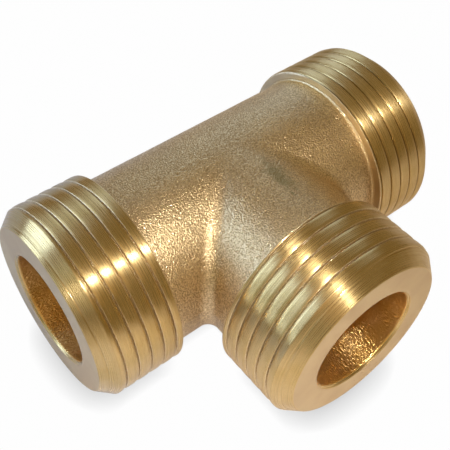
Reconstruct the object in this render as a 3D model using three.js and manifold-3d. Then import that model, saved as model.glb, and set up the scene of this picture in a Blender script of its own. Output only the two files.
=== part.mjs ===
// Forged brass equal tee with three male G 3/4 ends, in millimetres.
// X runs along the straight-through run, the branch points along -Y and Z is up.
// The tee lies flat on its three threaded collars. The origin is on that surface,
// under the middle of the tee's box, and the branch axis crosses it at X = 0.
import * as THREE from 'three';
import { mergeVertices } from 'three/addons/utils/BufferGeometryUtils.js';
import Module from 'manifold-3d';

// Parallel pipe thread G 3/4: 14 threads to the inch, cut shallow, with broad flat crests.
const MAJOR_RADIUS = 13.22;
const PITCH = 1.814;
const GROOVE_DEPTH = 0.45;
const GROOVE_MOUTH = 0.46;
const GROOVE_FLOOR = 0.08;

// Centre to end face, along the run and along the branch, and the turned collar's length.
const RUN_END = 27.75;
const BRANCH_END = 27.2;
const COLLAR_LENGTH = 11;

// Forged body, and the fillet in the two corners between the run and the branch.
const BODY_RADIUS = 11.85;
const CORNER_RADIUS = 1;

// Water way, end face and the two chamfers of a threaded end.
const BORE_RADIUS = 7.5;
const BORE_CHAMFER = 0.3;
const FACE_RADIUS = 11.53;
const LEAD_IN = 2;

// Distance from the end face to the thread's first groove, at each collar's own X axis.
const LEFT_START = 0.08;
const RIGHT_START = 0.44;
const BRANCH_START = 0.29;

// Facets round every cylinder, facets in the corner fillet, and how far a cutter overshoots.
const SEGMENTS = 40;
const FILLET_STEPS = 4;
const HALF_STEP = 0.5;
const OVERSHOOT = 1;
const MERGE_DISTANCE = 1e-4;

const RUN_SHOULDER = RUN_END - COLLAR_LENGTH;
const BRANCH_SHOULDER = BRANCH_END - COLLAR_LENGTH;
const RUN_AXIS_Y = (BRANCH_END - MAJOR_RADIUS) / 2;
const FULL_TURN = 2 * Math.PI;
const QUARTER_TURN = Math.PI / 2;

const wasm = await Module();
wasm.setup();

// A three.js geometry as a solid that can be joined and cut.
function solidOf(geometry) {
  geometry.deleteAttribute('normal');
  geometry.deleteAttribute('uv');
  const merged = mergeVertices(geometry, MERGE_DISTANCE);
  const vertProperties = merged.attributes.position.array;
  const triVerts = Uint32Array.from(merged.index.array);
  return new wasm.Manifold(new wasm.Mesh({ numProp: 3, vertProperties, triVerts }));
}

function geometryOf(solid) {
  const mesh = solid.getMesh();
  const geometry = new THREE.BufferGeometry();
  geometry.setAttribute('position', new THREE.BufferAttribute(mesh.vertProperties, 3));
  geometry.setIndex(new THREE.BufferAttribute(mesh.triVerts, 1));
  return geometry;
}

// A closed solid through a row of closed loops, each with the same number of points.
function loft(loops) {
  const size = loops[0].length;
  const indices = [];
  for (let row = 1; row < loops.length; row += 1) {
    for (let i = 0; i < size; i += 1) {
      const next = (i + 1) % size;
      const low = (row - 1) * size;
      const high = row * size;
      indices.push(low + i, low + next, high + next);
      indices.push(low + i, high + next, high + i);
    }
  }
  const last = (loops.length - 1) * size;
  for (let i = 1; i < size - 1; i += 1) {
    indices.push(0, i + 1, i);
    indices.push(last, last + i, last + i + 1);
  }
  const geometry = new THREE.BufferGeometry().setFromPoints(loops.flat());
  geometry.setIndex(indices);
  return solidOf(geometry);
}

// A round bar on the Y axis, from one height to another.
function bar(radius, low, high) {
  const geometry = new THREE.CylinderGeometry(radius, radius, high - low, SEGMENTS);
  geometry.translate(0, (low + high) / 2, 0);
  return geometry;
}

// The turned blank of a threaded end, on the Z axis, from its shoulder at 0 to its end face.
function collarBlank() {
  const outline = [
    [BORE_RADIUS, 0],
    [MAJOR_RADIUS, 0],
    [MAJOR_RADIUS, COLLAR_LENGTH - LEAD_IN],
    [FACE_RADIUS, COLLAR_LENGTH],
    [BORE_RADIUS + BORE_CHAMFER, COLLAR_LENGTH],
    [BORE_RADIUS, COLLAR_LENGTH - BORE_CHAMFER],
    [BORE_RADIUS, 0],
  ];
  const points = outline.map(([radius, height]) => new THREE.Vector2(radius, height));
  const blank = new THREE.LatheGeometry(points, SEGMENTS);
  blank.rotateX(QUARTER_TURN);
  return solidOf(blank);
}

// The right-hand helical V groove, long enough to run out of both ends of the blank.
function threadGroove(start) {
  const outside = MAJOR_RADIUS + OVERSHOOT;
  const floor = MAJOR_RADIUS - GROOVE_DEPTH;
  const slope = (GROOVE_MOUTH - GROOVE_FLOOR) / 2 / GROOVE_DEPTH;
  const halfFloor = GROOVE_FLOOR / 2;
  const halfOutside = halfFloor + slope * (outside - floor);
  const section = [[floor, halfFloor], [outside, halfOutside], [outside, -halfOutside], [floor, -halfFloor]];
  const turns = Math.ceil(COLLAR_LENGTH / PITCH) + 2;
  const loops = [];
  for (let step = 0; step <= turns * SEGMENTS; step += 1) {
    const turn = (step + HALF_STEP) / SEGMENTS;
    const angle = turn * FULL_TURN;
    const centre = COLLAR_LENGTH - start + PITCH * (turn - turns + 1);
    loops.push(section.map(([radius, offset]) => new THREE.Vector3(
      radius * Math.cos(angle), radius * Math.sin(angle), centre + offset)));
  }
  return loft(loops);
}

function threadedCollar(start) {
  return geometryOf(collarBlank().subtract(threadGroove(start)));
}

// The fillet in one corner between the run and the branch, on the side given by its sign.
// Its radius shrinks with the corner's depth, so it fades out at the top and the bottom.
function cornerFillet(side) {
  const growth = CORNER_RADIUS / BODY_RADIUS;
  const buried = 0.85;
  const loops = [];
  for (let step = 1; step < SEGMENTS / 2; step += 1) {
    const angle = step * FULL_TURN / SEGMENTS - QUARTER_TURN;
    const width = BODY_RADIUS * Math.cos(angle);
    const height = BODY_RADIUS * Math.sin(angle);
    const loop = [new THREE.Vector3(side * buried * width, -buried * width, height)];
    for (let i = 0; i <= FILLET_STEPS; i += 1) {
      const turn = QUARTER_TURN * (1 + i / FILLET_STEPS);
      const x = width * (1 + growth * (1 + Math.cos(turn)));
      const y = -width * (1 + growth * (1 - Math.sin(turn)));
      loop.push(new THREE.Vector3(side * x, y, height));
    }
    loops.push(side > 0 ? loop.reverse() : loop);
  }
  return loft(loops);
}

function forgedBody() {
  const run = solidOf(bar(BODY_RADIUS, -RUN_SHOULDER, RUN_SHOULDER).rotateZ(QUARTER_TURN));
  const branch = solidOf(bar(BODY_RADIUS, -BRANCH_SHOULDER, 0));
  const runBore = bar(BORE_RADIUS, -RUN_END, RUN_END).rotateZ(QUARTER_TURN);
  const branchBore = bar(BORE_RADIUS, -BRANCH_END, 0);
  const skin = run.add(branch).add(cornerFillet(-1)).add(cornerFillet(1));
  return geometryOf(skin.subtract(solidOf(runBore)).subtract(solidOf(branchBore)));
}

// Blasted forging skin, and freshly turned brass.
const forgedBrass = { color: 0xa98d5f, roughness: 0.42, metalness: 1 };
const turnedBrass = { color: 0xb8954f, roughness: 0.22, metalness: 1 };

const group = new THREE.Group();
group.position.set(0, RUN_AXIS_Y, MAJOR_RADIUS);

function place(name, geometry, finish, position = [0, 0, 0], rotation = [0, 0, 0]) {
  const mesh = new THREE.Mesh(geometry, new THREE.MeshStandardMaterial(finish));
  mesh.name = name;
  mesh.position.set(...position);
  mesh.rotation.set(...rotation);
  group.add(mesh);
}

place('forged_body', forgedBody(), forgedBrass);
place('left_run_thread', threadedCollar(LEFT_START), turnedBrass,
  [-RUN_SHOULDER, 0, 0], [0, -QUARTER_TURN, 0]);
place('right_run_thread', threadedCollar(RIGHT_START), turnedBrass,
  [RUN_SHOULDER, 0, 0], [0, QUARTER_TURN, 0]);
place('branch_thread', threadedCollar(BRANCH_START), turnedBrass,
  [0, -BRANCH_SHOULDER, 0], [QUARTER_TURN, 0, 0]);

export default group;
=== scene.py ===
import math

import bmesh
import bpy
import numpy as np
from mathutils import Matrix, Vector, noise


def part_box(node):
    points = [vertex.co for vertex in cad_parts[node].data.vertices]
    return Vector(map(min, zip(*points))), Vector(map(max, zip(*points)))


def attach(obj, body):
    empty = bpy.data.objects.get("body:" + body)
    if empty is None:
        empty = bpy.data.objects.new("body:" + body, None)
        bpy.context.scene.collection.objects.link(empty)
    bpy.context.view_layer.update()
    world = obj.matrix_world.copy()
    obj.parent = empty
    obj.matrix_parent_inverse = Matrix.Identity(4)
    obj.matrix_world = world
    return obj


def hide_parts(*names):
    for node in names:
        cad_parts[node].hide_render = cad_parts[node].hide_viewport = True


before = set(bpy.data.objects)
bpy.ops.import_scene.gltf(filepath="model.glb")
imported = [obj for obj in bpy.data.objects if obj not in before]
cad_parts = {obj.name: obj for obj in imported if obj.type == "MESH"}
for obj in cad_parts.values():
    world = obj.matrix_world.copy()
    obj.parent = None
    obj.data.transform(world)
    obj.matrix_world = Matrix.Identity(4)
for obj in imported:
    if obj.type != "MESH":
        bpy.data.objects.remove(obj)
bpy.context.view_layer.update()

# Lengths are in millimetres and angles in degrees, and MM turns a length into metres.
MM = 0.001
TURN = 2 * math.pi


# ---------------------------------------------------------------------------
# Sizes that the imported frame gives
# ---------------------------------------------------------------------------


def node_box(node):
    """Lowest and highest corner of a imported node, in millimetres."""
    low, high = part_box(node)
    return np.array(low) / MM, np.array(high) / MM


BODY_LOW, BODY_HIGH = node_box("forged_body")
LEFT_LOW, LEFT_HIGH = node_box("left_run_thread")
BRANCH_LOW, BRANCH_HIGH = node_box("branch_thread")

MAJOR_RADIUS = (LEFT_HIGH[2] - LEFT_LOW[2]) / 2
CROSSING = np.array([0, (LEFT_LOW[1] + LEFT_HIGH[1]) / 2, (LEFT_LOW[2] + LEFT_HIGH[2]) / 2])
BODY_RADIUS = (BODY_HIGH[2] - BODY_LOW[2]) / 2
RUN_SHOULDER = BODY_HIGH[0]
RUN_END = -LEFT_LOW[0]
BRANCH_SHOULDER = CROSSING[1] - BODY_LOW[1]
BRANCH_END = CROSSING[1] - BRANCH_LOW[1]
COLLAR_LENGTH = RUN_END - RUN_SHOULDER

# ---------------------------------------------------------------------------
# Sizes of the surface detail
# ---------------------------------------------------------------------------

# Turned ends: the bore, the end face, and the cone that leads on to the thread.
BORE_RADIUS = 7.5
BORE_CHAMFER = 0.3
FACE_RADIUS = 11.53
LEAD_IN = 2
LEAD_IN_ROUND = 0.05
EDGE_RADIUS = 0.1

# Thread: a rounded groove between crests that sag towards it, each with one low ridge.
PITCH = 1.814
GROOVE_DEPTH = 0.24
GROOVE_MOUTH = 0.32
CREST_SAG = 0.1
CREST_POWER = 4
RIDGE_OFFSET = 0.5
RIDGE_WIDTH = 0.07
RIDGE_HEIGHT = 0.012

# The faint trace that the thread leaves on the lead-in cone.
TRACE_DEPTH = 0.07
TRACE_MOUTH = 0.3

# Distance of each end's first groove from its end face, at angle 0.
LEFT_START = 0.08
RIGHT_START = 0.44
BRANCH_START = 0.29

# Torn side of a groove, and its root where shade is painted dark, as offsets inwards from the groove's
# middle.
TORN_FROM = -0.01
TORN_TO = 0.18
ROOT_OFFSET = -0.05
ROOT_WIDTH = 0.06

# Forged skin: the fillets between run and branch, outside and in the bores. CORNER_FADE makes
# the fillet run out to nothing at the top and bottom of the tube.
CORNER_RADIUS = 1.6
CORNER_FADE = 0.2
BORE_CORNER = 0.25

# Turned foot beside a shoulder, how many foot radii its short cells cover, and the dies' line.
FOOT_RADIUS = 0.3
FOOT_REACH = 1.2
SEAM_WIDTH = 0.5
SEAM_HEIGHT = 0.05
SEAM_POWER = 6

# Waves and grain that are real shape: how wide and how high the bumps are.
PEEL_SIZE = 1.6
PEEL_HEIGHT = 0.02
GRAIN_SIZE = 0.5
GRAIN_HEIGHT = 0.008

# A painted dark reflection on the skin near the branch, and a dark nick, measured from the crossing of
# the axes.
DARK_REFLECTION_MIDDLE = (2.1, -8.0, 11.6)
DARK_REFLECTION_SPREAD = (1.5, 3.4, 4)
NICK_MIDDLE = (1.3, -11.3, 11.8)
NICK_SPREAD = (0.25, 0.6, 2)

# Grid fineness: columns round a collar, rows to one thread pitch and over each other stretch
# of a collar, and cells on the forged skin.
COLUMNS = 288
CREST_ROWS = 17
GROOVE_ROWS = 15
EDGE_ROWS = 6
FACE_ROWS = 12
CHAMFER_SHARES = (0.08, 0.5, 0.92)
BORE_ROWS = 40
BACK_ROWS = 14
SKIN_ROWS = 128
RUN_CELLS = 56
CORNER_CELLS = 8
BRANCH_CELLS = 54
FOOT_ROWS = 7
MERGE_DISTANCE = 0.002

# Material slot of each zone. The skin is in slot 0 of the body, where the ends have turned metal.
ZONE_TURNED, ZONE_FACE, ZONE_BORE, ZONE_TORN = range(4)
ZONE_SKIN = 0


# ---------------------------------------------------------------------------
# Mesh helpers
# ---------------------------------------------------------------------------


def mesh_piece(name, points, faces, materials, face_materials=None, attributes=None):
    """A smooth closed mesh piece from points in millimetres, with doubled points merged."""
    mesh = bpy.data.meshes.new(name)
    mesh.from_pydata((np.asarray(points) * MM).tolist(), [], faces)
    for material in materials:
        mesh.materials.append(material)
    if face_materials is not None:
        mesh.polygons.foreach_set("material_index", np.asarray(face_materials, dtype=np.int32))
    for key, values in (attributes or {}).items():
        layer = mesh.attributes.new(key, "FLOAT", "POINT")
        layer.data.foreach_set("value", np.asarray(values, dtype=np.float32))
    work = bmesh.new()
    work.from_mesh(mesh)
    bmesh.ops.remove_doubles(work, verts=work.verts, dist=MERGE_DISTANCE * MM)
    bmesh.ops.recalc_face_normals(work, faces=work.faces)
    for face in work.faces:
        face.smooth = True
    work.to_mesh(mesh)
    work.free()
    piece = bpy.data.objects.new(name, mesh)
    bpy.context.scene.collection.objects.link(piece)
    return piece


def softplus(value, softness):
    """max(value, 0) with a round bend about as wide as softness."""
    return (value + np.sqrt(value * value + softness * softness)) / 2


def grid_faces(rows, columns, first=0):
    """Quads of an open grid of points stored row by row."""
    return [
        (
            first + row * columns + column,
            first + row * columns + column + 1,
            first + (row + 1) * columns + column + 1,
            first + (row + 1) * columns + column,
        )
        for row in range(rows - 1)
        for column in range(columns - 1)
    ]


# ---------------------------------------------------------------------------
# The three threaded ends
# ---------------------------------------------------------------------------


def groove_offset(distance, angle, start):
    """Distance inwards along the axis from the nearest groove's middle, negative towards the face."""
    along = distance - start + PITCH * angle / TURN
    return (along + PITCH / 2) % PITCH - PITCH / 2


def groove_depth(offset, mouth, depth):
    """Depth of a groove with rounded lips and a rounded root."""
    share = np.clip(np.abs(offset) * 2 / mouth, 0, 1)
    return depth * (1 + np.cos(math.pi * share)) / 2


def outer_radius(distance, angle, start):
    """Radius of the threaded outside, distance being measured inwards from the end face.

    It is the smaller of the thread and the lead-in cone, with a round bend where they meet.
    """
    offset = groove_offset(distance, angle, start)
    half_crest = (PITCH - GROOVE_MOUTH) / 2
    from_middle = (PITCH / 2 - np.abs(offset)) / half_crest
    ridge = RIDGE_HEIGHT * np.exp(-(((offset - RIDGE_OFFSET) / RIDGE_WIDTH) ** 2))
    crest = MAJOR_RADIUS - CREST_SAG * np.minimum(from_middle, 1) ** CREST_POWER + ridge
    thread = np.minimum(crest, MAJOR_RADIUS) - groove_depth(offset, GROOVE_MOUTH, GROOVE_DEPTH)
    cone = FACE_RADIUS + (MAJOR_RADIUS - FACE_RADIUS) * distance / LEAD_IN
    trace = cone - groove_depth(offset, TRACE_MOUTH, TRACE_DEPTH)
    return thread - softplus(thread - trace, LEAD_IN_ROUND)


def edge_drop(distance):
    """How far a rounded edge falls away within EDGE_RADIUS of the corner."""
    inside = np.clip(EDGE_RADIUS - distance, 0, EDGE_RADIUS)
    return EDGE_RADIUS - np.sqrt(EDGE_RADIUS**2 - inside**2)


def edge_steps():
    """Distances of the rows round a rounded edge, from its far side to the corner."""
    return [EDGE_RADIUS * (1 - math.sqrt(1 - step * step)) for step in np.linspace(1, 0, EDGE_ROWS)]


def pitch_offsets():
    """Row positions over one pitch, dense in the groove and sparse on the crest."""
    lip = GROOVE_MOUTH / 2
    groove = np.linspace(-lip, lip, GROOVE_ROWS)
    crest = np.linspace(lip, PITCH - lip, CREST_ROWS + 2)[1:-1]
    return np.concatenate([groove, crest])


def thread_rows(start):
    """Distances of the helical rows at angle 0, for every angle of a collar, and the rows in a pitch."""
    offsets = pitch_offsets()
    turns = range(-2, math.ceil(COLLAR_LENGTH / PITCH) + 2)
    rows = np.concatenate([start + turn * PITCH + offsets for turn in turns])
    return rows, len(offsets)


def collar_points(start):
    """Grid over the threaded outside: distances, radii, angles, how much painted shade darkens the
    groove root, faces and their zones.

    Rows follow the helix, so the last column joins the first one a pitch further on.
    """
    rows, per_turn = thread_rows(start)
    angles = TURN * np.arange(COLUMNS) / COLUMNS
    distance = rows[:, None] - PITCH * angles[None, :] / TURN
    distance = np.clip(distance, EDGE_RADIUS, COLLAR_LENGTH - EDGE_RADIUS)
    radius = outer_radius(distance, angles[None, :], start)
    faces, zones = [], []
    middles = (rows[1:] + rows[:-1]) / 2
    offsets = groove_offset(middles, 0, start)
    torn = (offsets > TORN_FROM) & (offsets < TORN_TO)
    for row in range(len(rows) - 1):
        for column in range(COLUMNS):
            following = (column + 1) % COLUMNS
            shift = per_turn if following == 0 else 0
            near, far = max(row - shift, 0), max(row + 1 - shift, 0)
            faces.append(
                (
                    row * COLUMNS + column,
                    (row + 1) * COLUMNS + column,
                    far * COLUMNS + following,
                    near * COLUMNS + following,
                )
            )
            rough = torn[row] and distance[row, column] > LEAD_IN
            zones.append(ZONE_TORN if rough else ZONE_TURNED)
    offsets = groove_offset(distance, angles[None, :], start)
    # How much painted shade darkens each point, strongest in the groove's root.
    root = np.exp(-(((offsets - ROOT_OFFSET) / ROOT_WIDTH) ** 2)) * (distance > LEAD_IN)
    return distance, radius, angles, root, faces, zones


def ring_rows(start, angles):
    """The rows that close the collar: end face, bore, back face and shoulder wall."""
    rows = []

    def add(distance, radius, zone):
        ring = np.broadcast_to(distance, angles.shape), np.broadcast_to(radius, angles.shape), zone
        rows.append(ring)

    edge = edge_steps()
    for here in edge:
        add(here, outer_radius(here, angles, start) - edge_drop(here), ZONE_TURNED)
    rim = outer_radius(0, angles, start) - EDGE_RADIUS
    inner = BORE_RADIUS + BORE_CHAMFER
    for share in np.linspace(0, 1, FACE_ROWS)[1:]:
        add(0, rim + (inner - rim) * share, ZONE_FACE)
    for share in CHAMFER_SHARES:
        add(BORE_CHAMFER * share, inner - BORE_CHAMFER * share, ZONE_TURNED)
    for distance in np.linspace(BORE_CHAMFER, COLLAR_LENGTH, BORE_ROWS):
        add(distance, BORE_RADIUS, ZONE_BORE)
    wall_top = outer_radius(COLLAR_LENGTH, angles, start) - EDGE_RADIUS
    for share in np.linspace(0, 1, BACK_ROWS)[1:]:
        add(COLLAR_LENGTH, BORE_RADIUS + (wall_top - BORE_RADIUS) * share, ZONE_FACE)
    for here in edge[::-1][1:]:
        radius = outer_radius(COLLAR_LENGTH - here, angles, start) - edge_drop(here)
        add(COLLAR_LENGTH - here, radius, ZONE_TORN)
    return rows


def collar(name, start, end, across, outward, materials):
    """One threaded end, whose first groove is start from its face and its face end from the crossing.

    across and outward are unit vectors: where angle 0 points, and the way that the face looks.
    """
    distance, radius, angles, root, faces, zones = collar_points(start)
    rings = ring_rows(start, angles)
    first = distance.size
    for number, (_, _, zone) in enumerate(rings[1:]):
        for column in range(COLUMNS):
            following = (column + 1) % COLUMNS
            faces.append(
                (
                    first + number * COLUMNS + column,
                    first + number * COLUMNS + following,
                    first + (number + 1) * COLUMNS + following,
                    first + (number + 1) * COLUMNS + column,
                )
            )
            zones.append(zone)
    distance = np.concatenate([distance.ravel(), *[row[0] for row in rings]])
    radius = np.concatenate([radius.ravel(), *[row[1] for row in rings]])
    angle = np.tile(angles, len(distance) // COLUMNS)
    root = np.concatenate([root.ravel(), np.zeros(len(distance) - root.size)])
    across, outward = np.array(across, float), np.array(outward, float)
    up = np.cross(outward, across)
    points = (
        CROSSING
        + outward * (end - distance)[:, None]
        + across * (radius * np.cos(angle))[:, None]
        + up * (radius * np.sin(angle))[:, None]
    )
    return mesh_piece(name, points, faces, materials, zones, {"root": root})


# ---------------------------------------------------------------------------
# The forged body
# ---------------------------------------------------------------------------


def tee_path(width, fillet, run_steps, branch_steps):
    """Plan outline of one front corner at a height where both arms are width wide each way.

    Gives points (x, y) and outward normals (x, y) for the corner on the -X side.
    """
    run_from, run_to = -RUN_SHOULDER, -width - fillet
    run = [(run_from + (run_to - run_from) * step, -width, 0, -1) for step in run_steps]
    corner = []
    for angle in np.radians(np.linspace(90, 0, CORNER_CELLS + 1))[1:-1]:
        across, away = math.cos(angle), math.sin(angle)
        corner.append((run_to + fillet * across, run_to + fillet * away, -across, -away))
    branch = [(-width, run_to + (-BRANCH_SHOULDER - run_to) * step, -1, 0) for step in branch_steps]
    return np.array(run + corner + branch)


def end_steps(cells, span):
    """Shares from 0 to 1 along a strip, with a few short steps at the start for the shoulder's foot."""
    foot = np.linspace(0, FOOT_RADIUS * FOOT_REACH, FOOT_ROWS) / span
    return np.concatenate([foot, np.linspace(foot[-1], 1, cells + 1)[1:]])


def tee_skin(radius, fillet):
    """Points, normals and faces of a tee-shaped tube skin of one radius, open at its three ends.

    Also gives the first point's number and the column count of each strip. The skin is three
    strips, the two front corners and the plain back of the run.
    """
    run_steps = end_steps(RUN_CELLS, RUN_SHOULDER)
    branch_steps = 1 - end_steps(BRANCH_CELLS, BRANCH_SHOULDER)[::-1]
    tilts = np.radians(np.linspace(-90, 90, SKIN_ROWS + 1))
    strips = {"left": [], "right": [], "back": []}
    for tilt in tilts:
        width, height = max(radius * math.cos(tilt), 0), radius * math.sin(tilt)
        flat = math.cos(tilt)
        path = tee_path(width, fillet * flat / math.hypot(flat, CORNER_FADE), run_steps, branch_steps)
        for side, sign in (("left", 1), ("right", -1)):
            strips[side].append(
                [
                    (sign * x, y, height, sign * nx * flat, ny * flat, math.sin(tilt))
                    for x, y, nx, ny in path
                ]
            )
        half = [-RUN_SHOULDER * (1 - step) for step in run_steps]
        whole = half + [-x for x in half[-2::-1]]
        strips["back"].append([(x, width, height, 0, flat, math.sin(tilt)) for x in whole])
    points, faces, rims = [], [], {}
    for side, rows in strips.items():
        first = len(points)
        columns = len(rows[0])
        for row in rows:
            points.extend(row)
        faces.extend(grid_faces(len(rows), columns, first))
        rims[side] = (first, columns)
    table = np.array(points)
    return table[:, :3], table[:, 3:], faces, rims


def rim_rows(rims):
    """Point numbers along each open end's rim, as half circles that the two skins share."""

    def edge(side, last):
        first, columns = rims[side]
        return [first + row * columns + (columns - 1 if last else 0) for row in range(SKIN_ROWS + 1)]

    return [
        edge("left", False),
        edge("back", False),
        edge("right", False),
        edge("back", True),
        edge("left", True),
        edge("right", True),
    ]


def foot_flare(points):
    """How far the skin swells into the turned foot beside a shoulder."""
    from_run = RUN_SHOULDER - np.abs(points[:, 0])
    from_branch = BRANCH_SHOULDER + points[:, 1]
    near = np.clip(FOOT_RADIUS - np.minimum(from_run, from_branch), 0, FOOT_RADIUS)
    return FOOT_RADIUS - np.sqrt(FOOT_RADIUS**2 - near**2)


def seam_ridge(points):
    """The trimmed flash line that the two dies leave at the height of the axes."""
    height = np.abs(points[:, 2]) / SEAM_WIDTH
    return SEAM_HEIGHT / (1 + height**SEAM_POWER)


def peel(points, size, seed):
    """Smooth random height between about -1 and 1, with bumps about size across."""
    offset = Vector((seed, 2 * seed, 3 * seed))
    return np.array([noise.noise(Vector(point) / size + offset) for point in points.tolist()])


def forged_body(materials):
    """The blasted tee body with its crossing bores, as one closed mesh."""
    outer, outer_normals, outer_faces, rims = tee_skin(BODY_RADIUS, CORNER_RADIUS)
    inner, _, inner_faces, _ = tee_skin(BORE_RADIUS, BORE_CORNER)
    from_shoulder = np.minimum(RUN_SHOULDER - np.abs(outer[:, 0]), BRANCH_SHOULDER + outer[:, 1])
    away = np.clip(from_shoulder / FOOT_RADIUS - 1, 0, 1)
    seam = seam_ridge(outer) * away
    waves = PEEL_HEIGHT * peel(outer, PEEL_SIZE, 1) + GRAIN_HEIGHT * peel(outer, GRAIN_SIZE, 2)
    outer = outer + outer_normals * (foot_flare(outer) + seam + waves * away)[:, None]
    points = np.concatenate([outer, inner]) + CROSSING
    first = len(outer)
    faces = outer_faces + [tuple(first + corner for corner in face) for face in inner_faces]
    zones = [ZONE_SKIN] * len(outer_faces) + [ZONE_BORE] * len(inner_faces)
    for rim in rim_rows(rims):
        for here, following in zip(rim[:-1], rim[1:]):
            faces.append((here, following, first + following, first + here))
            zones.append(ZONE_SKIN)
    foot = np.concatenate([1 - away, np.zeros(len(inner))])
    return mesh_piece("tee_body", points, faces, materials, zones, {"foot": foot})


# ---------------------------------------------------------------------------
# Materials
# ---------------------------------------------------------------------------


class Shader:
    """A short way to write a node tree that ends in a Principled shader."""

    def __init__(self, name):
        self.material = bpy.data.materials.new(name)
        self.material.use_nodes = True
        self.tree = self.material.node_tree
        self.tree.nodes.clear()
        self.output = self.tree.nodes.new("ShaderNodeOutputMaterial")
        self.surface = self.tree.nodes.new("ShaderNodeBsdfPrincipled")
        self.tree.links.new(self.surface.outputs[0], self.output.inputs["Surface"])

    def put(self, socket, value):
        """Link a socket to another node's output, or set its number or colour."""
        if isinstance(value, bpy.types.NodeSocket):
            self.tree.links.new(value, socket)
        else:
            socket.default_value = value

    def node(self, kind, settings=None, **values):
        """New node with its settings, and its inputs by name, or by number as i0, i1 and so on."""
        made = self.tree.nodes.new("ShaderNode" + kind)
        for key, value in (settings or {}).items():
            setattr(made, key, value)
        for key, value in values.items():
            index = int(key[1:]) if key[0] == "i" and key[1:].isdigit() else key.replace("_", " ")
            self.put(made.inputs[index], value)
        return made

    def math(self, operation, first, second=0.0):
        return self.node("Math", {"operation": operation}, i0=first, i1=second).outputs[0]

    def place(self, scale):
        """Object position in millimetres, stretched by scale along X, Y and Z."""
        coordinates = self.node("TexCoord").outputs["Object"]
        size = tuple(part / MM for part in scale)
        return self.node("VectorMath", {"operation": "MULTIPLY"}, i0=coordinates, i1=size).outputs[0]

    def noise(self, fineness, detail=2.0, roughness=0.5):
        """Noise of so many bumps to a millimetre, given as one number or as one for each axis."""
        scale = fineness if isinstance(fineness, tuple) else (fineness,) * 3
        place = self.place(scale)
        made = self.node("TexNoise", Vector=place, Scale=1.0, Detail=detail, Roughness=roughness)
        return made.outputs["Fac"]

    def along(self, direction):
        """Distance along a direction from the frame's origin, in millimetres."""
        place = self.place((1, 1, 1))
        made = self.node("VectorMath", {"operation": "DOT_PRODUCT"}, i0=place, i1=direction)
        return made.outputs["Value"]

    def noise_along(self, axis, fineness, detail=2.0, roughness=0.5):
        """Noise that changes only along one axis, so it makes rings round it."""
        made = self.node(
            "TexNoise",
            {"noise_dimensions": "1D"},
            W=self.along(axis_scale(axis, 1, 0)),
            Scale=fineness,
            Detail=detail,
            Roughness=roughness,
        )
        return made.outputs["Fac"]

    def remap(self, value, low, high, new_low, new_high):
        """Move a value from the span low to high over to the span new_low to new_high, and clamp it."""
        ends = {"From_Min": low, "From_Max": high, "To_Min": new_low, "To_Max": new_high}
        return self.node("MapRange", Value=value, **ends).outputs[0]

    def share(self, value, span):
        """0 at the first end of a span of values and 1 at the other."""
        return self.remap(value, *span, 0, 1)

    def scaled(self, value, factor):
        return self.math("MULTIPLY", value, factor)

    def blend(self, share, first, second):
        """Mix of two colours, all the second one where share is 1."""
        made = self.tree.nodes.new("ShaderNodeMix")
        made.data_type = "RGBA"
        self.put(made.inputs[0], share)
        self.put(made.inputs[6], first)
        self.put(made.inputs[7], second)
        return made.outputs[2]

    def bump(self, height, depth, normal=None):
        """Bump from a height of 0 to 1, depth being its size in millimetres."""
        values = {"Strength": 1.0, "Distance": depth * MM, "Height": height}
        if normal is not None:
            values["Normal"] = normal
        return self.node("Bump", **values).outputs[0]

    def patch(self, middle, spread):
        """1 near a point given from the crossing and 0 away from it, with a ragged edge."""
        scale = tuple(1 / part for part in spread)
        centre = tuple((CROSSING + middle) / spread)
        away = self.node("VectorMath", {"operation": "DISTANCE"}, i0=self.place(scale), i1=centre)
        ragged = self.remap(self.noise(1, detail=3), *PATCH_NOISE, -PATCH_RAGGED, PATCH_RAGGED)
        return self.remap(self.math("ADD", away.outputs["Value"], ragged), *PATCH_EDGE, 1, 0)

    def tangent(self, axis):
        """Direction round the axis, which the turned finishes stretch their highlights across."""
        return self.node("Tangent", {"direction_type": "RADIAL", "axis": axis}).outputs[0]

    def attribute(self, name):
        return self.node("Attribute", {"attribute_name": name}).outputs["Fac"]

    def finish(self, **values):
        for key, value in values.items():
            self.put(self.surface.inputs[key.replace("_", " ")], value)
        return self.material


# Colours of the metal, named for what they look like.
BRASS_PALE = (0.86, 0.69, 0.40, 1)
BRASS_DEEP = (0.79, 0.61, 0.35, 1)
BRASS_BRIGHT = (0.74, 0.56, 0.27, 1)
BRASS_AMBER = (0.66, 0.48, 0.20, 1)
BRASS_DULL = (0.64, 0.49, 0.29, 1)
# The next two colours are painted light on the blasted grain: bright glints on its raised specks and
# dark shade in its pits.
BRASS_PAINTED_GLINT = (0.95, 0.79, 0.50, 1)
BRASS_PIT_SHADE = (0.50, 0.36, 0.19, 1)
BRASS_FACE = (0.70, 0.56, 0.34, 1)
BRASS_CHALKY = (0.92, 0.80, 0.56, 1)
BRASS_TAWNY = (0.90, 0.61, 0.24, 1)
BRASS_RUST = (0.80, 0.51, 0.16, 1)
# Colour of the painted dark reflection near the branch, and of the nick.
BRASS_NICK_AND_DARK_REFLECTION = (0.28, 0.24, 0.10, 1)
# Painted shade at the roots of the grooves.
BRASS_ROOT_SHADE = (0.14, 0.09, 0.04, 1)

# Noise is given in bumps to a millimetre, and bump depths in millimetres. A span is the stretch
# of noise values over which a colour or a roughness goes from one end to the other.
STAIN_SPAN = (0.4, 0.65)

# Blasted skin.
SKIN_DRIFT = 0.12
SKIN_DRIFT_SPAN = (0.35, 0.65)
SKIN_GRAIN = 5
SKIN_GRAIN_DEPTH = 0.11
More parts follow.
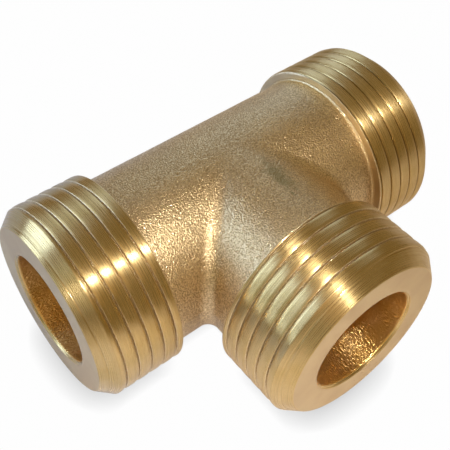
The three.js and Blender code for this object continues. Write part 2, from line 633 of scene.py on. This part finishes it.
# Spans of grain height where the painted glints and the painted pit shade come in.
SKIN_PAINTED_GLINT_SPAN = (0.52, 0.66)
SKIN_PIT_SHADE_SPAN = (0.48, 0.34)
SKIN_ROUGH_SPAN = (0.36, 0.64)
SKIN_ROUGHNESS = (0.42, 0.29)
FOOT_PALENESS = 0.7

# The painted dark reflection and the nick: how strong they are, and how ragged and how soft their edges.
DARK_REFLECTION_STRENGTH = 0.65
NICK_STRENGTH = 0.9
PATCH_NOISE = (0.3, 0.7)
PATCH_RAGGED = 0.35
PATCH_EDGE = (0.3, 1.1)

# A quarter turn from the tangent, which lays the highlight along the axis.
ALONG_AXIS = 0.25

# Turned crests: tool lines that show as bumps, and a finer feed that changes the polish.
TURNED_LINES = 2.2
TURNED_LINES_DEPTH = 0.006
TURNED_FEED = 12
TURNED_FEED_SPAN = (0.4, 0.57)
TURNED_ROUGHNESS = (0.2, 0.48)
TURNED_STAIN = 0.25
# How strongly painted shade darkens the groove root on the turned metal.
TURNED_ROOT_SHADE = 0.75
TURNED_ANISOTROPY = 0.95

# Torn groove sides.
TORN_FLECKS = 3.5
TORN_FLECKS_SPAN = (0.4, 0.6)
TORN_DEPTH = 0.06
# How strongly painted shade darkens the groove root on the torn sides.
TORN_ROOT_SHADE = 0.5
TORN_ROUGHNESS = 0.42

# End faces.
FACED_STAIN = 0.2
FACED_RINGS = 4.0
FACED_RINGS_DEPTH = 0.004
FACED_GRAIN = 6
FACED_GRAIN_DEPTH = 0.006
FACED_ROUGHNESS = 0.42

# Bores: ripples that are longer along the axis than round it.
BORE_RIPPLES_ALONG = 2.2
BORE_RIPPLES_ROUND = 4.8
BORE_RIPPLES_DEPTH = 0.1
BORE_STAIN = 0.3
BORE_METALLIC = 0.9
BORE_ROUGHNESS = 0.29
BORE_ANISOTROPY = 0.85


def blasted_brass():
    """Shot-blasted forging skin: sharp grain with painted glints on its raised specks and painted shade
    in its pits, and slow colour drift.
    """
    s = Shader("blasted_brass")
    drift = s.noise(SKIN_DRIFT, detail=3)
    grain = s.noise(SKIN_GRAIN, detail=1)
    tint = s.blend(s.share(drift, SKIN_DRIFT_SPAN), BRASS_DULL, BRASS_DEEP)
    # Painted glints on the raised grain, then painted shade in its sunken grain.
    tint = s.blend(s.share(grain, SKIN_PAINTED_GLINT_SPAN), tint, BRASS_PAINTED_GLINT)
    tint = s.blend(s.share(grain, SKIN_PIT_SHADE_SPAN), tint, BRASS_PIT_SHADE)
    tint = s.blend(s.scaled(s.attribute("foot"), FOOT_PALENESS), tint, BRASS_PALE)
    # A dark patch painted where the skin shows a dark reflection, and a dark nick.
    for middle, spread, strength in (
        (DARK_REFLECTION_MIDDLE, DARK_REFLECTION_SPREAD, DARK_REFLECTION_STRENGTH),
        (NICK_MIDDLE, NICK_SPREAD, NICK_STRENGTH),
    ):
        tint = s.blend(s.scaled(s.patch(middle, spread), strength), tint, BRASS_NICK_AND_DARK_REFLECTION)
    normal = s.bump(grain, SKIN_GRAIN_DEPTH)
    rough = s.remap(grain, *SKIN_ROUGH_SPAN, *SKIN_ROUGHNESS)
    return s.finish(Base_Color=tint, Metallic=1.0, Roughness=rough, Normal=normal)


def axis_scale(axis, along, across):
    """Scale vector with one value along the axis and another across it."""
    return tuple(along if letter == axis else across for letter in "XYZ")


def turned_brass(axis):
    """Bright lathe-turned brass whose tool lines run round the axis."""
    s = Shader("turned_brass_" + axis.lower())
    lines = s.noise_along(axis, TURNED_LINES, detail=5, roughness=0.62)
    feed = s.noise_along(axis, TURNED_FEED, detail=2, roughness=0.6)
    stain = s.noise(TURNED_STAIN, detail=3)
    tint = s.blend(s.share(stain, STAIN_SPAN), BRASS_BRIGHT, BRASS_AMBER)
    # Painted shade along the groove root.
    tint = s.blend(s.scaled(s.attribute("root"), TURNED_ROOT_SHADE), tint, BRASS_ROOT_SHADE)
    return s.finish(
        Base_Color=tint,
        Metallic=1.0,
        Roughness=s.remap(feed, *TURNED_FEED_SPAN, *TURNED_ROUGHNESS),
        Anisotropic=TURNED_ANISOTROPY,
        Anisotropic_Rotation=ALONG_AXIS,
        Tangent=s.tangent(axis),
        Normal=s.bump(lines, TURNED_LINES_DEPTH),
    )


def torn_brass():
    """Inner side of each groove and back edge of a collar, where the tool tore the metal."""
    s = Shader("torn_brass")
    flecks = s.noise(TORN_FLECKS, detail=3, roughness=0.7)
    tint = s.blend(s.share(flecks, TORN_FLECKS_SPAN), BRASS_DEEP, BRASS_CHALKY)
    # Painted shade along the groove root.
    tint = s.blend(s.scaled(s.attribute("root"), TORN_ROOT_SHADE), tint, BRASS_ROOT_SHADE)
    normal = s.bump(flecks, TORN_DEPTH)
    return s.finish(Base_Color=tint, Metallic=1.0, Roughness=TORN_ROUGHNESS, Normal=normal)


def faced_brass(axis):
    """Satin end face with faint rings round the axis."""
    s = Shader("faced_brass_" + axis.lower())
    stain = s.noise(FACED_STAIN, detail=3)
    tint = s.blend(s.share(stain, STAIN_SPAN), BRASS_FACE, BRASS_DULL)
    centre = tuple(0 if letter == axis else value for letter, value in zip("XYZ", CROSSING))
    place = s.place(axis_scale(axis, 0, 1))
    from_axis = s.node("VectorMath", {"operation": "DISTANCE"}, i0=place, i1=centre).outputs["Value"]
    rings = s.node("TexNoise", {"noise_dimensions": "1D"}, W=from_axis, Scale=FACED_RINGS, Detail=3.0)
    fine = s.noise(FACED_GRAIN, detail=1)
    normal = s.bump(rings.outputs["Fac"], FACED_RINGS_DEPTH)
    normal = s.bump(fine, FACED_GRAIN_DEPTH, normal)
    return s.finish(Base_Color=tint, Metallic=1.0, Roughness=FACED_ROUGHNESS, Normal=normal)


def bore_brass(axis):
    """Bored hole whose wall has soft ripples."""
    s = Shader("bore_brass_" + axis.lower())
    ripples = s.noise(axis_scale(axis, BORE_RIPPLES_ALONG, BORE_RIPPLES_ROUND), detail=1)
    stain = s.noise(BORE_STAIN, detail=2)
    return s.finish(
        Base_Color=s.blend(s.share(stain, STAIN_SPAN), BRASS_TAWNY, BRASS_RUST),
        Metallic=BORE_METALLIC,
        Roughness=BORE_ROUGHNESS,
        Anisotropic=BORE_ANISOTROPY,
        Anisotropic_Rotation=ALONG_AXIS,
        Tangent=s.tangent(axis),
        Normal=s.bump(ripples, BORE_RIPPLES_DEPTH),
    )


def floor_paper():
    """Paper that the camera sees as white with a painted soft contact shade, and that glows dim and
    tinted with painted light in the metal's reflections.
    """
    s = Shader("floor_paper")
    samples = {"samples": FLOOR_SHADE_SAMPLES}
    shade = s.node("AmbientOcclusion", samples, Distance=FLOOR_SHADE_REACH * MM).outputs["AO"]
    glow = s.remap(shade, 0, 1, FLOOR_SHADE, FLOOR_WHITE)
    # The floor glows with painted light for the metal's reflections: cool and warm sides, dimmer towards
    # +X.
    to_warm = s.along(FLOOR_WARM_SIDE)
    painted_light_tint = s.blend(s.share(to_warm, (-FLOOR_BLEND, FLOOR_BLEND)), FLOOR_COOL_LIGHT, FLOOR_WARM_LIGHT)
    to_dim = s.along(FLOOR_DIM_SIDE)
    painted_light_tint = s.blend(s.share(to_dim, (0, FLOOR_DIM_REACH)), painted_light_tint, FLOOR_DIM_LIGHT)
    s.finish(
        Base_Color=FLOOR_GREY,
        Roughness=FLOOR_ROUGHNESS,
        Emission_Color=painted_light_tint,
        Emission_Strength=glow,
    )
    paper = s.node("Emission", Strength=glow, Color=(1, 1, 1, 1)).outputs[0]
    seen = s.node("LightPath").outputs["Is Camera Ray"]
    mixed = s.node("MixShader", i0=seen, i1=s.surface.outputs[0], i2=paper).outputs[0]
    s.put(s.output.inputs["Surface"], mixed)
    return s.material


# ---------------------------------------------------------------------------
# Floor, lights and camera
# ---------------------------------------------------------------------------

# The floor's half width, what the camera sees of it, and how it takes light.
FLOOR_HALF = 1500
FLOOR_WHITE = 0.99
FLOOR_SHADE = 0.45
FLOOR_SHADE_REACH = 3.5
FLOOR_SHADE_SAMPLES = 16
FLOOR_GREY = (0.7, 0.7, 0.7, 1)
FLOOR_ROUGHNESS = 0.9

# Light painted into its glow for reflections: cool on one side, warm on the other, and dimmer towards
# +X.
FLOOR_WARM_SIDE = (0.3, -0.95, 0)
FLOOR_BLEND = 25
FLOOR_DIM_SIDE = (1, 0, 0)
FLOOR_DIM_REACH = 40
FLOOR_DIM_LIGHT = (0.12, 0.08, 0.05, 1)
FLOOR_COOL_LIGHT = (0.03, 0.09, 0.24, 1)
FLOOR_WARM_LIGHT = (0.36, 0.28, 0.22, 1)

# The room as the metal reflects it, and as the camera sees it.
ROOM_DIM = (0.26, 0.19, 0.09, 1)
ROOM_PALE = (0.93, 0.93, 0.92, 1)

# The camera, its angles in degrees and its lens and sensor in millimetres. Its near and far
# limits are in metres.
CAMERA_AZIMUTH = -39.77
CAMERA_ELEVATION = 49.26
CAMERA_ROLL = 1.62
CAMERA_DISTANCE = 109.67
CAMERA_LENS = 63.71
CAMERA_SENSOR = 36
CAMERA_NEAR = 0.005
CAMERA_FAR = 20
AIM = CROSSING + np.array([-0.97, -1.46, -1.50])

# Each light: name, azimuth, elevation, distance, size, glow, colour and shape. The key is a small
# near lamp, the windows are the tall bright panes in the reflections, and the fills are dim walls.
LIGHTS = [
    ("key", -163, 57.9, 106, (4.5, 4.5), 800, (1, 0.97, 0.95), "DISK"),
    ("window_left", -44, 27, 600, (310, 466), 1, (1.75, 2.45, 3.6), "RECTANGLE"),
    ("window_low", -57, 11, 600, (625, 137), 1, (0.9, 1.3, 1.9), "RECTANGLE"),
    ("window_right", 38, 21, 600, (240, 366), 1, (0.6, 0.85, 1.2), "RECTANGLE"),
    ("fill_front", 212, 52, 600, (400, 460), 1, (0.6, 0.4, 0.25), "RECTANGLE"),
    ("fill_left", -100, 28, 600, (428, 484), 1, (0.15, 0.21, 0.18), "RECTANGLE"),
]


def floor():
    """A wide sheet of paper at the height that the tee lies on."""
    corners = [(x * FLOOR_HALF, y * FLOOR_HALF, 0) for x, y in ((-1, -1), (1, -1), (1, 1), (-1, 1))]
    mesh = bpy.data.meshes.new("floor")
    mesh.from_pydata([Vector(corner) * MM for corner in corners], [], [(0, 1, 2, 3)])
    mesh.materials.append(floor_paper())
    plane = bpy.data.objects.new("floor", mesh)
    bpy.context.scene.collection.objects.link(plane)


def direction(azimuth, elevation):
    """Unit vector, azimuth turning from +Y towards +X and elevation rising from the floor."""
    turn, rise = math.radians(azimuth), math.radians(elevation)
    return Vector((math.sin(turn) * math.cos(rise), math.cos(turn) * math.cos(rise), math.sin(rise)))


def area_light(name, azimuth, elevation, distance, size, glow, colour, shape):
    """A light aimed at the crossing of the axes, with distance and size in millimetres.

    Its power follows from glow, the brightness of its face.
    """
    data = bpy.data.lights.new(name, "AREA")
    data.shape = shape
    data.size, data.size_y = size[0] * MM, size[1] * MM
    data.energy = glow * math.pi * data.size * data.size_y
    data.color = colour
    light = bpy.data.objects.new(name, data)
    away = direction(azimuth, elevation)
    light.location = (Vector(CROSSING) + away * distance) * MM
    light.rotation_mode = "QUATERNION"
    light.rotation_quaternion = away.to_track_quat("Z", "Y")
    light.visible_camera = False
    bpy.context.scene.collection.objects.link(light)


def room():
    """Dim warm surroundings for reflections and a pale backdrop for the camera."""
    world = bpy.data.worlds.new("room")
    world.use_nodes = True
    tree = world.node_tree
    tree.nodes.clear()
    output = tree.nodes.new("ShaderNodeOutputWorld")
    dim = tree.nodes.new("ShaderNodeBackground")
    pale = tree.nodes.new("ShaderNodeBackground")
    rays = tree.nodes.new("ShaderNodeLightPath")
    mix = tree.nodes.new("ShaderNodeMixShader")
    dim.inputs["Color"].default_value = ROOM_DIM
    pale.inputs["Color"].default_value = ROOM_PALE
    tree.links.new(rays.outputs["Is Camera Ray"], mix.inputs[0])
    tree.links.new(dim.outputs[0], mix.inputs[1])
    tree.links.new(pale.outputs[0], mix.inputs[2])
    tree.links.new(mix.outputs[0], output.inputs["Surface"])
    bpy.context.scene.world = world


def camera():
    """A camera that looks at AIM, turned round its own line of sight by the roll."""
    data = bpy.data.cameras.new("camera")
    data.lens = CAMERA_LENS
    data.sensor_width = CAMERA_SENSOR
    data.clip_start, data.clip_end = CAMERA_NEAR, CAMERA_FAR
    view = bpy.data.objects.new("camera", data)
    back = direction(180 - CAMERA_AZIMUTH, CAMERA_ELEVATION)
    right = Vector((0, 0, 1)).cross(back).normalized()
    up = back.cross(right)
    roll = math.radians(CAMERA_ROLL)
    turned_right = math.cos(roll) * right + math.sin(roll) * up
    turned_up = back.cross(turned_right)
    frame_axes = Matrix((turned_right, turned_up, back)).transposed()
    place = (Vector(AIM) + back * CAMERA_DISTANCE) * MM
    view.matrix_world = Matrix.Translation(place) @ frame_axes.to_4x4()
    bpy.context.scene.collection.objects.link(view)
    bpy.context.scene.camera = view


# ---------------------------------------------------------------------------
# The scene
# ---------------------------------------------------------------------------


def build():
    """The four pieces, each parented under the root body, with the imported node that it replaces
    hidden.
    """
    blasted = blasted_brass()
    torn = torn_brass()
    finishes = {axis: [turned_brass(axis), faced_brass(axis), bore_brass(axis), torn] for axis in "XY"}
    body = forged_body([blasted, blasted, finishes["X"][2]])
    left = collar("left_run_end", LEFT_START, RUN_END, (0, 1, 0), (-1, 0, 0), finishes["X"])
    right = collar("right_run_end", RIGHT_START, RUN_END, (0, 1, 0), (1, 0, 0), finishes["X"])
    branch = collar("branch_end_thread", BRANCH_START, BRANCH_END, (1, 0, 0), (0, -1, 0), finishes["Y"])
    nodes = {
        "forged_body": body,
        "left_run_thread": left,
        "right_run_thread": right,
        "branch_thread": branch,
    }
    for node, piece in nodes.items():
        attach(piece, "root")
        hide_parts(node)


build()
floor()
room()
camera()
for light in LIGHTS:
    area_light(*light)

bpy.context.scene.view_settings.view_transform = "Standard"
